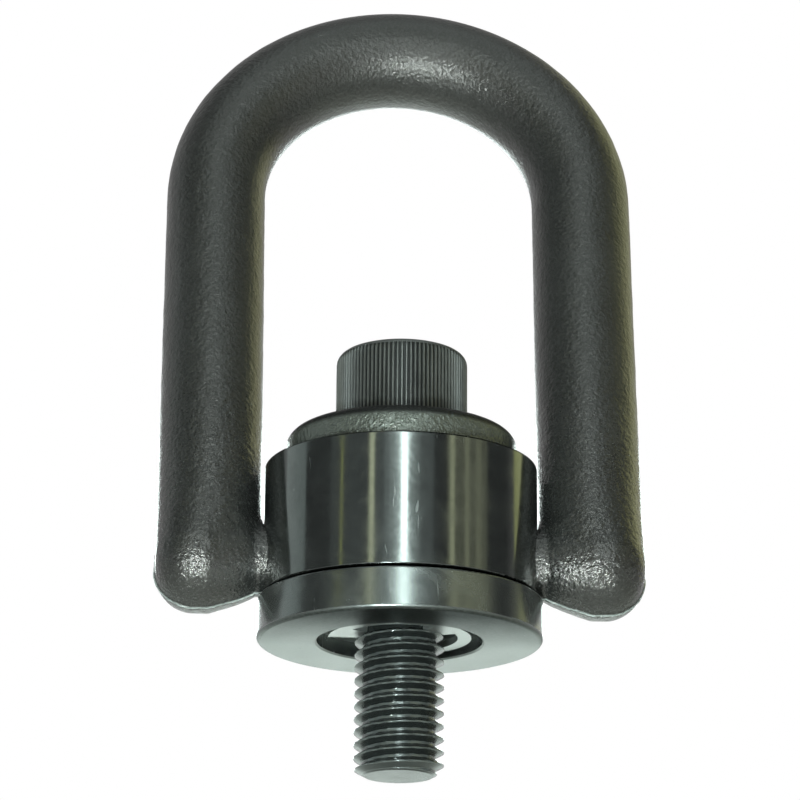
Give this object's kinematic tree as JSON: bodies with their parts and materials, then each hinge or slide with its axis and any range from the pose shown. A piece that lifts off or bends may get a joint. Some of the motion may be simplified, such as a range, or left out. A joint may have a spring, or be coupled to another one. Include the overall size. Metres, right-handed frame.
{
  "type": "swivel hoist ring",
  "caption": "Centre-pull swivel hoist ring: forged U-shaped lifting ring on a round body that turns on a flanged bushing held by a socket head cap screw.",
  "frame": {"origin": "centre of the flange's flat underside, on the cap screw's axis", "axes": "+Z along the screw towards its head and the lifting ring; the screw's thread points to -Z; X is the lifting ring's pivot axis; the ring rests leaning 15 degrees from upright towards +Y"},
  "size_m": [0.0892, 0.0648, 0.1596],
  "materials": {
    "forged_ring": "black oxide on shot-blasted forging, fine grain",
    "polished_body": "black oxide on ground and polished steel",
    "bushing": "black oxide on turned steel",
    "washer": "black oxide, tumbled",
    "screw": "black oxide alloy screw, lightly oiled",
    "clip": "phosphated spring steel",
    "pin": "ground alloy steel"
  },
  "bodies": {
    "bushing": {"flanged_bushing": "bushing"},
    "swivel": {"swivel_body": "polished_body"},
    "ring": {"lifting_ring": "forged_ring", "pivot_pin_left": "pin", "pivot_pin_right": "pin"},
    "washer": {"top_washer": "washer"},
    "clip": {"retaining_ring": "clip"},
    "screw": {"cap_screw": "screw"}
  },
  "joints": [
    {"name": "body_swivel", "type": "hinge", "parent": "bushing", "child": "swivel", "pos_m": [0, 0, 0.02], "axis": [0, 0, 1], "continuous": true},
    {"name": "ring_pivot", "type": "hinge", "parent": "swivel", "child": "ring", "pos_m": [0, 0, 0.0145], "axis": [1, 0, 0], "range_deg": [-75, 105]},
    {"name": "washer_spin", "type": "hinge", "parent": "bushing", "child": "washer", "pos_m": [0, 0, 0.035], "axis": [0, 0, 1], "continuous": true},
    {"name": "screw_float", "type": "slide", "parent": "bushing", "child": "clip", "axis": [0, 0, 1], "range_m": [0, 0.0008]},
    {"name": "screw_spin", "type": "hinge", "parent": "clip", "child": "screw", "pos_m": [0, 0, 0.0015], "axis": [0, 0, 1], "continuous": true}
  ]
}
